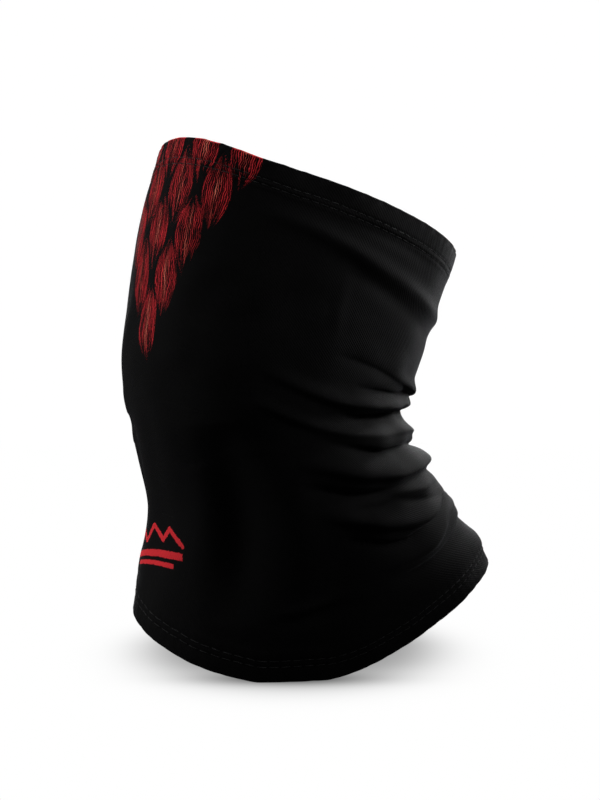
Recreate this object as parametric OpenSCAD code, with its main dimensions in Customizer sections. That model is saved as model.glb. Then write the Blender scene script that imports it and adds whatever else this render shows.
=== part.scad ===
// Neck gaiter: a sewn tube of stretch knit for the neck and the lower face.
// It stands as worn: the wearer faces -Y, +X is the wearer's left and +Z is up.
// The lower hem stands on Z = 0, and the origin is under the middle of the tube.

/* [Overall size] */
// Height of the face edge above the surface that the gaiter stands on
overall_h = 304; // [280:1:330]
// Width across the widest part of the tube
overall_w = 166; // [150:1:185]
// Depth from the throat to the back of the lower hem
overall_d = 238; // [220:1:255]

/* [Lower hem] */
// Turn of the lower hem's wave round the neck, in degrees
hem_turn = 26; // [0:1:32]
// Depth by which the wave is pressed flat where the hem stands
hem_press = 2.5; // [1:0.5:4]

/* [Nape folds] */
// How far the folds at the nape swell in and out
fold_h = 2; // [0:0.5:3]
// Number of folds at the nape
fold_count = 3; // [2:1:4]

/* [Cloth] */
// Thickness of one ply of the knit
cloth_t = 0.8; // [0.5:0.1:1.1]
// Width of the cloth that is turned in at each edge
hem_w = 18; // [17:0.5:24]
// Gap between the two plies of a hem
ply_gap = 0.1; // [0.1:0.05:0.3]

/* [Stitching] */
// Diameter of the sewing thread
thread_d = 0.5; // [0.3:0.1:0.7]
// Distance between the two needle rows of a hem
needle_gap = 3.2; // [2.4:0.2:5]
// Distance from the face edge to its nearer needle row
face_row = 11.5; // [8:0.5:12]
// Distance from the neck edge to its nearer needle row
neck_row = 8.5; // [7:0.5:12]

/* [Care label] */
// Height of the label along the back seam, as a share of the tube's length
label_share = 0.26; // [0.15:0.01:0.3]
// Thickness of the label's ribbon
label_t = 0.25; // [0.15:0.05:0.35]

/* [Hidden] */

// Stations from the neck edge to the face edge, at the nominal size:
// throat y, throat z, nape y, nape z, half width, drop of the sides
STATIONS = [
    [-118,  41, 119,  60, 83, 49],
    [-103,  90,  83, 106, 83, 30],
    [-113, 146,  69, 127, 80, 18],
    [-119, 184,  58, 143, 76,  8],
    [-116, 215,  61, 162, 75,  2],
    [-111, 251,  73, 190, 75,  2],
    [ -99, 304,  92, 240, 77,  5]
];
// Nominal size that the stations are written for
NOMINAL = [166, 238, 304];
SIZE = [overall_w / NOMINAL[0], overall_d / NOMINAL[1], overall_h / NOMINAL[2]];

last = len(STATIONS) - 1;    // number of the station at the face edge
sides = 72;                  // flats round the tube
step = 360 / sides;          // angle of one flat
rings = 26;                  // rings between the two hems
turn_reach = 3;              // stations over which the lower wave untwists
fold_from = 1.2;             // station where the nape folds start
fold_to = 4.2;               // station where they end
snap = 0.35;                 // height below which the neck hem lies flat on Z = 0
rim = cloth_t + ply_gap / 2; // radius of the fold at each edge
air = 0.03;                  // clearance between a thread and the cloth under it
seam = 180;                  // angle of the back seam, measured from the throat
thread_sides = 6;            // flats round a thread

// ---- The tube's surface ----
// u counts stations from the neck edge, a is the angle round the tube:
// 0 at the throat, 90 at the wearer's left, 180 at the nape.

function clamp01(v) = max(0, min(1, v));
function mix(p, q, f) = p + (q - p) * f;
function station_row(k) = STATIONS[max(0, min(last, k))];
function row_slope(k) = (station_row(k + 1) - station_row(k - 1)) / (k <= 0 || k >= last ? 1 : 2);

// Smooth curve through the stations
function station(u) =
    let (i = max(0, min(last - 1, floor(u))), f = u - i)
    (2 * f^3 - 3 * f^2 + 1) * station_row(i)
    + (f^3 - 2 * f^2 + f) * row_slope(i)
    + (3 * f^2 - 2 * f^3) * station_row(i + 1)
    + (f^3 - f^2) * row_slope(i + 1);

// Height of the wavy loop at u, before the neck edge is pressed on the surface
function wave_z(s, u, a) =
    let (b = a + hem_turn * clamp01(1 - u / turn_reach)^1.5)
    (s[1] + s[3]) / 2 + (s[1] - s[3]) / 2 * cos(b) - s[5] * sin(b)^2;

// The neck edge sinks by hem_press, but not below the surface
NECK_EDGE = station(0);
function press_z(u, a) =
    u >= 1 ? 0 : -min(hem_press, wave_z(NECK_EDGE, 0, a)) * (1 - u);

// Soft folds across the nape
function nape_fold(u, a) =
    let (f = (u - fold_from) / (fold_to - fold_from))
    f <= 0 || f >= 1 ? 0
    : fold_h * sin(180 * f) * sin(360 * fold_count * f) * max(0, -cos(a))^1.5;

function skin(u, a) =
    let (s = station(u))
    [
        s[4] * sin(a) * SIZE[0],
        ((s[0] + s[2]) / 2 + (s[0] - s[2]) / 2 * cos(a)) * SIZE[1] + nape_fold(u, a),
        (wave_z(s, u, a) + press_z(u, a)) * SIZE[2]
    ];

// Unit normal that points out of the tube
function outward(u, a) =
    let (
        up = skin(u + 0.02, a) - skin(u - 0.02, a),
        round = skin(u, a + 1) - skin(u, a - 1),
        n = cross(round, up)
    )
    n / norm(n);

// Point at depth n inside the outer face
function inside(u, a, n) = skin(u, a) - n * outward(u, a);

// Value of u at a distance s along the cloth from either edge
function from_neck(s, a) = s * 0.05 / norm(skin(0.05, a) - skin(0, a));
function from_face(s, a) = last - s * 0.05 / norm(skin(last, a) - skin(last - 0.05, a));

// Distances from an edge at which every ply near it has a ring
function hem_rings(row) = [rim, row / 2, row, row + needle_gap, hem_w];
NECK_RINGS = hem_rings(neck_row);
FACE_RINGS = hem_rings(face_row);

// The rings of the tube at angle a, from the neck edge to the face edge
function body_rings(a) =
    let (low = from_neck(hem_w, a), high = from_face(hem_w, a))
    [for (k = [1 : rings]) mix(low, high, k / (rings + 1))];
function tube_rings(a) = concat(
    [for (s = NECK_RINGS) from_neck(s, a)],
    body_rings(a),
    [for (k = [len(FACE_RINGS) - 1 : -1 : 0]) from_face(FACE_RINGS[k], a)]
);

// ---- Solids made from rows of points ----

// Two triangles between four points of a grid, given by their numbers
function quad(a, b, c, d) = [[a, b, c], [a, c, d]];

// A closed ring: sections[i] is the cross-section at angle i * step
module ring_solid(sections) {
    m = len(sections[0]);
    n = len(sections);
    polyhedron(
        points = [for (s = sections) each s],
        faces = [
            for (i = [0 : n - 1], j = [0 : m - 1])
                let (k = (i + 1) % n, l = (j + 1) % m)
                each quad(i * m + j, i * m + l, k * m + l, k * m + j)
        ]
    );
}

// A plate between two grids of points with the same number of rows and columns
module plate_solid(front, back) {
    n = len(front);
    m = len(front[0]);
    size = n * m;
    polyhedron(
        points = concat([for (r = front) each r], [for (r = back) each r]),
        faces = concat(
            [for (i = [0 : n - 2], j = [0 : m - 2]) let (p = i * m + j)
                each quad(p, p + 1, p + m + 1, p + m)],
            [for (i = [0 : n - 2], j = [0 : m - 2]) let (p = size + i * m + j)
                each quad(p + m, p + m + 1, p + 1, p)],
            [for (i = [0 : n - 2]) let (p = i * m)
                each quad(p, p + m, size + p + m, size + p)],
            [for (i = [0 : n - 2]) let (p = i * m + m - 1)
                each quad(p + m, p, size + p, size + p + m)],
            [for (j = [0 : m - 2])
                each quad(j + 1, j, size + j, size + j + 1)],
            [for (j = [0 : m - 2]) let (p = (n - 1) * m + j)
                each quad(p, p + 1, size + p + 1, size + p)]
        )
    );
}

// Cross-section of a thread at point p that runs along way, on a face with normal up
function thread_section(p, way, up) =
    let (w = way / norm(way), side = cross(w, up), high = cross(side, w))
    [for (k = [0 : thread_sides - 1])
        p + thread_d / 2 * (cos(360 * k / thread_sides) * side + sin(360 * k / thread_sides) * high)];

// A thread that closes on itself round the tube
module thread_ring(path, ups) {
    n = len(path);
    ring_solid([for (i = [0 : n - 1])
        thread_section(path[i], path[(i + 1) % n] - path[(i + n - 1) % n], ups[i])]);
}

// A thread with two ends
module thread_run(path, ups) {
    n = len(path);
    m = thread_sides;
    sections = [for (i = [0 : n - 1])
        thread_section(path[i], path[min(n - 1, i + 1)] - path[max(0, i - 1)], ups[i])];
    polyhedron(
        points = [for (s = sections) each s],
        faces = concat(
            [for (i = [0 : n - 2], j = [0 : m - 1]) let (l = (j + 1) % m)
                each quad(i * m + j, i * m + l, (i + 1) * m + l, (i + 1) * m + j)],
            [for (j = [1 : m - 2]) [0, j + 1, j]],
            [for (j = [1 : m - 2]) let (p = (n - 1) * m) [p, p + j, p + j + 1]]
        )
    );
}

// ---- Cloth ----

// Colours of the knit, the sewing thread and the label's ribbon
KNIT = [0.05, 0.05, 0.055];
THREAD = [0.16, 0.16, 0.17];
RIBBON = [0.85, 0.85, 0.83];

ANGLES = [for (i = [0 : sides - 1]) i * step];

// The tube: one ply of knit between the folds of its two hems
module knit_tube() {
    color(KNIT)
    ring_solid([for (a = ANGLES) let (us = tube_rings(a)) concat(
        [for (u = us) inside(u, a, 0)],
        [for (k = [len(us) - 1 : -1 : 0]) inside(us[k], a, cloth_t)]
    )]);
}

// Cross-section of a hem as [distance from the edge, depth]: the fold, then the inner ply
function hem_outline(spots) = concat(
    [[rim, cloth_t], [rim, 0], [0.3 * rim, 0.25 * rim], [0, 0.7 * rim]],
    [[0, 1.3 * rim], [0.3 * rim, 1.75 * rim], [rim, 2 * rim]],
    [for (k = [1 : len(spots) - 1]) [spots[k], 2 * rim]],
    [for (k = [len(spots) - 1 : -1 : 0]) [spots[k], 2 * rim - cloth_t]]
);

// The neck hem rests flat where it comes down to the surface
function rested(p) = p[2] < snap ? [p[0], p[1], 0] : p;

module face_hem() {
    outline = hem_outline(FACE_RINGS);
    color(KNIT)
    ring_solid([for (a = ANGLES) [for (q = outline) inside(from_face(q[0], a), a, q[1])]]);
}

module neck_hem() {
    outline = hem_outline(NECK_RINGS);
    m = len(outline);
    color(KNIT)
    ring_solid([for (a = ANGLES) [for (k = [m - 1 : -1 : 0])
        rested(inside(from_neck(outline[k][0], a), a, outline[k][1]))]]);
}

// ---- Hem threads ----

// Needle rows lie on the outer face and the looper zigzags over the inner ply
needle_depth = -(thread_d / 2 + air);
looper_depth = 2 * rim + thread_d / 2 + 3 * air;

module face_thread(rows, depth) {
    us = [for (i = [0 : sides - 1]) from_face(rows[i % len(rows)], ANGLES[i])];
    color(THREAD)
    thread_ring(
        [for (i = [0 : sides - 1]) inside(us[i], ANGLES[i], depth)],
        [for (i = [0 : sides - 1]) outward(us[i], ANGLES[i])]
    );
}

module neck_thread(rows, depth) {
    us = [for (i = [0 : sides - 1]) from_neck(rows[i % len(rows)], ANGLES[i])];
    color(THREAD)
    thread_ring(
        [for (i = [0 : sides - 1]) inside(us[i], ANGLES[i], depth)],
        [for (i = [0 : sides - 1]) outward(us[i], ANGLES[i])]
    );
}

// ---- Back seam ----

// Point on the flat beside the seam: f goes from the seam, 0, to the next ring line, 1
function beside_seam(u, f, n) = mix(inside(u, seam, n), inside(u, seam + step, n), f);

// Rings that the seam's pieces follow, from just above one hem to just below the other
SEAM_RINGS = body_rings(seam);

// The two allowances are pressed to one side, one on the other
module seam_allowance(depth) {
    color(KNIT)
    plate_solid(
        [for (u = SEAM_RINGS) [beside_seam(u, 0, depth), beside_seam(u, 1, depth)]],
        [for (u = SEAM_RINGS) [beside_seam(u, 0, depth + cloth_t), beside_seam(u, 1, depth + cloth_t)]]
    );
}
first_depth = cloth_t + air;
second_depth = first_depth + cloth_t + air;
seam_thread_depth = second_depth + cloth_t + thread_d / 2 + 2 * air;

// A thread on the allowances whose place across them follows the list of shares
module seam_thread(shares) {
    n = len(SEAM_RINGS);
    color(THREAD)
    thread_run(
        [for (i = [0 : n - 1]) beside_seam(SEAM_RINGS[i], shares[i % len(shares)], seam_thread_depth)],
        [for (u = SEAM_RINGS) outward(u, seam)]
    );
}

// ---- Care label ----

// The label is a folded ribbon whose two ends are caught in the seam
label_flats = 3;                                    // flats of the tube that the label spans
label_from = 3;                                     // first ring beside the label
label_rows = max(2, round(label_share * (rings + 1)) + 1);
LABEL_RINGS = [for (k = [0 : label_rows - 1]) SEAM_RINGS[label_from + k]];
LABEL_ANGLES = [for (k = [0 : label_flats]) seam - k * step];
label_depth = cloth_t + 2 * air;
fold_gap = 0.1;                                     // gap between the ribbon's two plies
fold_angle = seam - (label_flats + 0.3) * step;     // where the ribbon turns back

// The ribbon's far side and near side, row by row: out, round the fold and back
function ribbon_row(u, out_depth, turn, back_depth) = concat(
    [for (a = LABEL_ANGLES) inside(u, a, out_depth)],
    [inside(u, fold_angle - turn, (out_depth + back_depth) / 2)],
    [for (k = [label_flats : -1 : 0]) inside(u, LABEL_ANGLES[k], back_depth)]
);

module care_label() {
    far = label_depth + 2 * label_t + fold_gap;
    color(RIBBON)
    plate_solid(
        [for (u = LABEL_RINGS) ribbon_row(u, label_depth + label_t, -0.1, far - label_t)],
        [for (u = LABEL_RINGS) ribbon_row(u, label_depth, 0.1, far)]
    );
}

// A short row of thread that holds the label's ends beside the seam
module care_label_tack() {
    depth = label_depth + 2 * label_t + fold_gap + thread_d / 2 + 2 * air;
    color(THREAD)
    thread_run(
        [for (u = LABEL_RINGS) mix(inside(u, seam, depth), inside(u, seam - step, depth), 0.25)],
        [for (u = LABEL_RINGS) outward(u, seam)]
    );
}

knit_tube();
face_hem();
neck_hem();
face_thread([face_row], needle_depth);  // face_hem_upper_needle_thread
face_thread([face_row + needle_gap], needle_depth);  // face_hem_lower_needle_thread
face_thread([face_row, face_row + needle_gap], looper_depth);  // face_hem_looper_thread
neck_thread([neck_row + needle_gap], needle_depth);  // neck_hem_upper_needle_thread
neck_thread([neck_row], needle_depth);  // neck_hem_lower_needle_thread
neck_thread([neck_row, neck_row + needle_gap], looper_depth);  // neck_hem_looper_thread
seam_allowance(first_depth);  // seam_allowance_left
seam_allowance(second_depth);  // seam_allowance_right
seam_thread([0.15]);  // seam_needle_thread
seam_thread([0.3, 0.95]);  // seam_overlock_thread
care_label();
care_label_tack();
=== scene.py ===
"""Looks of the neck gaiter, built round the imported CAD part.

Every piece lies on one cloth surface: place(u, a, depth) gives the point at that depth inside the
outer face. u counts the CAD part's stations from the neck edge (0) to the face edge (6), and a is
the angle round the tube in degrees: 0 at the throat, 90 at the wearer's left, 180 at the nape.
Lengths are millimetres until a mesh is made.
"""

import math

import bpy
import numpy as np
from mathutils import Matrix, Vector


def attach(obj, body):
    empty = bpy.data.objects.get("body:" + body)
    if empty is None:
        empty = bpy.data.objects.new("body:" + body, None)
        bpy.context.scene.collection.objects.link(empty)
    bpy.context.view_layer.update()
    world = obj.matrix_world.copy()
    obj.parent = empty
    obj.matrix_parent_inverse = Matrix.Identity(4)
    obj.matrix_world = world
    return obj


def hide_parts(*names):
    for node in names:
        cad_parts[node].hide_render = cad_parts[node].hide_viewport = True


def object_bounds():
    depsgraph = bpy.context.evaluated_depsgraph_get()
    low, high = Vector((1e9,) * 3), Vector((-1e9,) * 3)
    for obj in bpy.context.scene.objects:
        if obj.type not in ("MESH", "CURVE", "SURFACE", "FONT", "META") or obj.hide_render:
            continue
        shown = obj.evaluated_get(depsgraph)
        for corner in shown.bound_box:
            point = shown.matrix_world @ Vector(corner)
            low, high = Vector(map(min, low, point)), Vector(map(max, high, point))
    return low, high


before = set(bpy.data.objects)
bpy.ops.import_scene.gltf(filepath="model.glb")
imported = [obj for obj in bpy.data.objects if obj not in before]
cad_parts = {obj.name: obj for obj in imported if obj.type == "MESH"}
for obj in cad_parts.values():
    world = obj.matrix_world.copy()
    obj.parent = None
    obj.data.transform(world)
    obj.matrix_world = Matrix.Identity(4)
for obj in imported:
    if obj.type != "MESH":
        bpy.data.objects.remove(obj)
CAD_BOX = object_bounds()

# ---- The camera, where the photographer stood ----

VIEW_ANGLE = math.radians(54)   # round the object, from its front towards the wearer's left
VIEW_DISTANCE = 1.2
VIEW_HEIGHT = 0.156
VIEW_SIDESTEP = -0.006


def make_camera():
    data = bpy.data.cameras.new("camera")
    data.lens = 90
    data.sensor_width = 36
    data.clip_end = 20
    camera = bpy.data.objects.new("camera", data)
    bpy.context.scene.collection.objects.link(camera)
    s, c = math.sin(VIEW_ANGLE), math.cos(VIEW_ANGLE)
    camera.location = (
        VIEW_DISTANCE * s + VIEW_SIDESTEP * c,
        -VIEW_DISTANCE * c + VIEW_SIDESTEP * s,
        VIEW_HEIGHT,
    )
    camera.rotation_euler = (math.radians(90), 0, VIEW_ANGLE)
    bpy.context.scene.camera = camera


make_camera()

# ---- The cloth surface, from the CAD part's own stations ----

# Throat y, throat z, nape y, nape z, half width, drop of the sides
STATIONS = np.array([
    [-118, 41, 119, 60, 83, 49],
    [-103, 90, 83, 106, 83, 30],
    [-113, 146, 69, 127, 80, 18],
    [-119, 184, 58, 143, 76, 8],
    [-116, 215, 61, 162, 75, 2],
    [-111, 251, 73, 190, 75, 2],
    [-99, 304, 92, 240, 77, 5],
], float)
LAST = len(STATIONS) - 1
NOMINAL_BOX = np.array([167.0, 237.8, 303.9])  # box of the CAD part at these stations
SCALE = (np.array(CAD_BOX[1]) - np.array(CAD_BOX[0])) * 1000 / NOMINAL_BOX
HEM_TURN = 26.0      # turn of the lower wave round the neck, degrees
HEM_PRESS = 2.5      # how far that wave is pressed flat on the floor
TURN_REACH = 3.0     # stations over which it untwists
CLOTH_T = 0.8
PLY_GAP = 0.1
RIM = CLOTH_T + PLY_GAP / 2
HEM_W = 18.0
NEEDLE_GAP = 3.2
FACE_ROW = 11.5
NECK_ROW = 8.5
MM = 0.001


def clamp01(v):
    return np.clip(v, 0.0, 1.0)


def smooth(low, high, v):
    t = clamp01((v - low) / (high - low))
    return t * t * (3 - 2 * t)


def bell(v, width):
    return np.exp(-(v / width) ** 2)


def station(u):
    """Smooth curve through the stations."""
    i = np.clip(np.floor(u).astype(int), 0, LAST - 1)
    f = (u - i)[..., None]

    def row(k):
        return STATIONS[np.clip(k, 0, LAST)]

    slope0 = (row(i + 1) - row(i - 1)) / np.where(i == 0, 1, 2)[..., None]
    slope1 = (row(i + 2) - row(i)) / np.where(i + 1 == LAST, 1, 2)[..., None]
    return (
        (2 * f**3 - 3 * f**2 + 1) * row(i) + (f**3 - 2 * f**2 + f) * slope0
        + (3 * f**2 - 2 * f**3) * row(i + 1) + (f**3 - f**2) * slope1
    )


def wave_z(s, u, a):
    b = np.radians(a + HEM_TURN * clamp01(1 - u / TURN_REACH) ** 1.5)
    high, low = s[..., 1], s[..., 3]
    return (high + low) / 2 + (high - low) / 2 * np.cos(b) - s[..., 5] * np.sin(b) ** 2


def skin(u, a):
    """The smooth outer face, before any fold."""
    u, a = np.broadcast_arrays(np.asarray(u, float), np.asarray(a, float))
    s = station(u)
    r = np.radians(a)
    edge = wave_z(station(np.zeros_like(u)), np.zeros_like(u), a)
    press = np.where(u < 1, -np.minimum(HEM_PRESS, edge) * (1 - u), 0)
    x = s[..., 4] * np.sin(r)
    y = (s[..., 0] + s[..., 2]) / 2 + (s[..., 0] - s[..., 2]) / 2 * np.cos(r)
    return np.stack([x, y, wave_z(s, u, a) + press], -1) * SCALE


def unit(v):
    return v / np.maximum(np.linalg.norm(v, axis=-1, keepdims=True), 1e-9)


def skin_frame(u, a):
    """Unit vectors out of the tube and up along the cloth."""
    up = skin(u + 0.02, a) - skin(u - 0.02, a)
    across = skin(u, a + 1) - skin(u, a - 1)
    return unit(np.cross(across, up)), unit(up)


EDGE_U = 0.05        # stations over which the cloth's length at an edge is measured


def from_neck(s, a):
    """u at the distance s along the cloth from the neck edge."""
    return s * EDGE_U / np.linalg.norm(skin(EDGE_U, a) - skin(0.0, a), axis=-1)


def from_face(s, a):
    """u at the distance s along the cloth from the face edge."""
    return LAST - s * EDGE_U / np.linalg.norm(skin(LAST, a) - skin(LAST - EDGE_U, a), axis=-1)


def edge_distances(u, a):
    """Distance along the cloth from the neck edge and from the face edge."""
    return u / from_neck(1.0, a), (LAST - u) / (LAST - from_face(1.0, a))


# ---- Tables of length along and round the cloth ----

CIRCUMFERENCE = 540.0   # of the cut tube
SIDE_ANGLE = 60.0       # where the length along the cloth is taken for the knit's pattern
TABLE_U = np.linspace(0, LAST, 241)
ARC_ANGLES = np.linspace(-180, 180, 721)


def run_length(points):
    """Length from the first point to each one."""
    return np.concatenate([[0], np.cumsum(np.linalg.norm(np.diff(points, axis=0), axis=1))])


LENGTH_U = run_length(skin(TABLE_U, SIDE_ANGLE))
FRONT_U = run_length(skin(TABLE_U, 0.0))
# Round each edge, from the back seam, at each of ARC_ANGLES
NECK_ARC = run_length(skin(0.0, ARC_ANGLES))
FACE_ARC = run_length(skin(LAST, ARC_ANGLES))


def wrap(a):
    return (a + 180) % 360 - 180


def cloth_xy(u, a):
    """Millimetres round and along the flat cut cloth, for the knit's pattern."""
    return wrap(a) / 360 * CIRCUMFERENCE, np.interp(u, TABLE_U, LENGTH_U)


# ---- Folds ----

def spline(points, per_span):
    """Catmull-Rom curve through rows of numbers."""
    p = np.asarray(points, float)
    ends = np.vstack([2 * p[0] - p[1], p, 2 * p[-1] - p[-2]])
    t = np.linspace(0, 1, per_span, endpoint=False)[:, None]
    out = []
    for k in range(len(p) - 1):
        p0, p1, p2, p3 = ends[k:k + 4]
        out.append(0.5 * (
            2 * p1 + (p2 - p0) * t + (2 * p0 - 5 * p1 + 4 * p2 - p3) * t**2
            + (3 * p1 - p0 - 3 * p2 + p3) * t**3
        ))
    return np.vstack(out + [p[-1:]])


def nearest(points, line):
    """For each point: its offset from the line, and the place along it in samples."""
    d2 = (line**2).sum(1)[None] - 2 * points @ line.T
    k = d2.argmin(1)
    way = np.gradient(line, axis=0)
    step = np.linalg.norm(way, axis=1)
    way = way / step[:, None]
    off = points - line[k]
    t = (off * way[k]).sum(1)
    last = len(line) - 1
    t = np.where((k == 0) & (t < 0) | (k == last) & (t > 0), 0, t)
    return off - t[:, None] * way[k], np.clip(k + t / step[k], 0, last)


# Each fold: kind, width above and below it, then points (angle, station, height).
# A roll is a soft ridge, a crease is a sharp valley and a hollow is a wide soft one.
NAPE_FOLDS = [
    ("hollow", 18.0, 18.0, [
        (-39, 2.25, 0), (-39, 1.95, 3.2), (-38, 1.65, 3.6), (-37, 1.30, 3.2), (-36, 0.95, 2.6),
        (-36, 0.65, 0)]),
    ("crease", 1.7, 3.4, [
        (94, 3.30, 0), (104, 3.33, -1.8), (113, 3.38, -2.6), (122, 3.44, -3.0), (135, 3.61, -3.0),
        (148, 3.72, -3.2), (165, 3.76, -3.0), (185, 3.72, -2.8), (205, 3.60, -2.5), (228, 3.42, -1.7),
        (250, 3.30, 0)]),
    ("roll", 4.0, 3.0, [
        (110, 3.68, 0), (125, 3.78, 1.1), (147, 3.88, 2.9), (165, 3.92, 3.0), (190, 3.88, 2.5),
        (215, 3.75, 1.7), (240, 3.62, 0)]),
    ("roll", 5.0, 3.0, [
        (56, 3.14, 0), (66, 3.04, 1.3), (78, 2.97, 1.8), (90, 2.97, 2.0), (105, 3.05, 2.2),
        (120, 3.20, 2.2), (147, 3.51, 1.9), (170, 3.56, 1.9), (195, 3.50, 1.8), (220, 3.36, 1.4),
        (245, 3.20, 0.9), (268, 3.20, 0)]),
    ("crease", 2.6, 7.0, [
        (74, 2.72, 0), (83, 2.72, -0.5), (93, 2.75, -1.9), (102, 2.80, -3.6), (112, 2.87, -4.8),
        (122, 2.96, -5.2), (133, 3.06, -5.2), (147, 3.14, -5.6), (165, 3.15, -5.4), (185, 3.13, -5.0),
        (205, 3.08, -4.4), (225, 2.98, -3.1), (245, 2.86, -1.5), (262, 2.80, 0)]),
    ("roll", 3.4, 2.8, [
        (50, 2.66, 0), (58, 2.56, 1.0), (68, 2.49, 1.5), (80, 2.46, 1.5), (95, 2.49, 1.3),
        (108, 2.56, 1.2), (118, 2.64, 1.4), (130, 2.73, 2.2), (147, 2.75, 2.9), (170, 2.75, 2.2),
        (195, 2.72, 1.4), (220, 2.68, 1.3), (245, 2.58, 1.0), (270, 2.50, 0.7), (290, 2.60, 0)]),
    ("crease", 2.5, 4.6, [
        (72, 2.28, 0), (84, 2.26, -1.8), (94, 2.22, -3.8), (103, 2.20, -5.4), (112, 2.24, -5.4),
        (122, 2.31, -4.8), (134, 2.35, -5.2), (147, 2.27, -6.6), (162, 2.24, -6.0),
        (182, 2.28, -5.4), (202, 2.34, -4.8), (224, 2.38, -3.5), (246, 2.36, -2.0),
        (264, 2.28, 0)]),
    ("roll", 5.5, 3.2, [
        (62, 1.94, 0), (74, 1.94, 1.6), (86, 1.92, 2.5), (97, 1.91, 2.9), (108, 1.90, 3.0),
        (118, 1.91, 3.0), (130, 1.93, 3.2), (147, 1.95, 3.6), (170, 1.98, 3.4), (195, 2.02, 3.0),
        (220, 2.08, 2.4), (245, 2.10, 1.7), (270, 2.05, 0.9), (288, 2.00, 0)]),
    ("crease", 3.2, 4.2, [
        (62, 1.70, 0), (72, 1.66, -3.0), (84, 1.62, -4.8), (96, 1.62, -4.8), (107, 1.65, -4.2),
        (118, 1.66, -3.8), (130, 1.63, -3.4), (147, 1.50, -3.2), (165, 1.46, -3.4),
        (185, 1.50, -3.6), (208, 1.58, -3.4), (230, 1.68, -3.0), (255, 1.74, -2.0),
        (277, 1.75, 0)]),
    ("hollow", 8.0, 8.0, [
        (122, 1.28, 0), (147, 1.22, -2.0), (180, 1.22, -2.2), (215, 1.25, -1.7), (242, 1.30, 0)]),
    ("roll", 3.5, 3.0, [
        (146, 1.18, 0), (160, 1.22, 1.3), (190, 1.28, 1.8), (212, 1.32, 1.9), (235, 1.38, 1.7),
        (258, 1.42, 1.0), (276, 1.40, 0)]),
    ("crease", 1.7, 4.0, [
        (75, 1.16, 0), (86, 1.07, -2.2), (95, 1.00, -3.0), (104, 0.95, -3.2), (113, 0.95, -3.1),
        (124, 0.97, -3.0), (137, 0.99, -3.0), (150, 0.97, -2.8), (168, 1.02, -3.0),
        (190, 1.08, -3.2), (212, 1.10, -3.0), (235, 1.08, -2.0), (256, 1.05, 0)]),
    ("roll", 5.0, 2.8, [
        (88, 0.80, 0), (98, 0.79, 1.4), (108, 0.76, 1.9), (118, 0.76, 1.9), (132, 0.82, 1.7),
        (147, 0.80, 1.4), (165, 0.77, 1.0), (185, 0.78, 1.2), (207, 0.80, 1.3), (230, 0.85, 1.2),
        (252, 0.90, 0.7), (268, 0.90, 0)]),
    ("crease", 1.7, 3.6, [
        (90, 0.68, 0), (100, 0.63, -1.8), (110, 0.60, -2.4), (120, 0.58, -2.3), (131, 0.58, -1.8),
        (142, 0.60, -1.8), (155, 0.55, -2.2), (175, 0.54, -2.0), (200, 0.56, -1.8),
        (222, 0.60, -1.5), (245, 0.64, -0.9), (262, 0.66, 0)]),
    ("roll", 6.0, 9.0, [
        (92, 0.44, 0), (110, 0.43, 1.1), (130, 0.38, 1.6), (150, 0.33, 2.8), (175, 0.32, 2.7),
        (200, 0.34, 2.0), (225, 0.42, 1.1), (250, 0.42, 0)]),
    ("roll", 5.0, 5.5, [
        (46, 5.46, 0), (60, 5.46, 1.2), (75, 5.44, 1.9), (95, 5.37, 1.8), (115, 5.30, 1.9),
        (135, 5.26, 2.0), (160, 5.28, 2.0), (190, 5.36, 1.9), (220, 5.42, 1.6), (250, 5.40, 1.2),
        (280, 5.42, 0.6), (300, 5.44, 0)]),
    ("hollow", 4.5, 6.0, [
        (72, 5.24, 0), (86, 5.19, -1.0), (100, 5.11, -1.1), (118, 5.03, -0.9), (140, 4.98, -0.7),
        (160, 4.99, -0.6), (185, 5.05, -0.8), (215, 5.12, -1.3), (240, 5.18, -1.3),
        (264, 5.20, 0)]),
]

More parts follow.
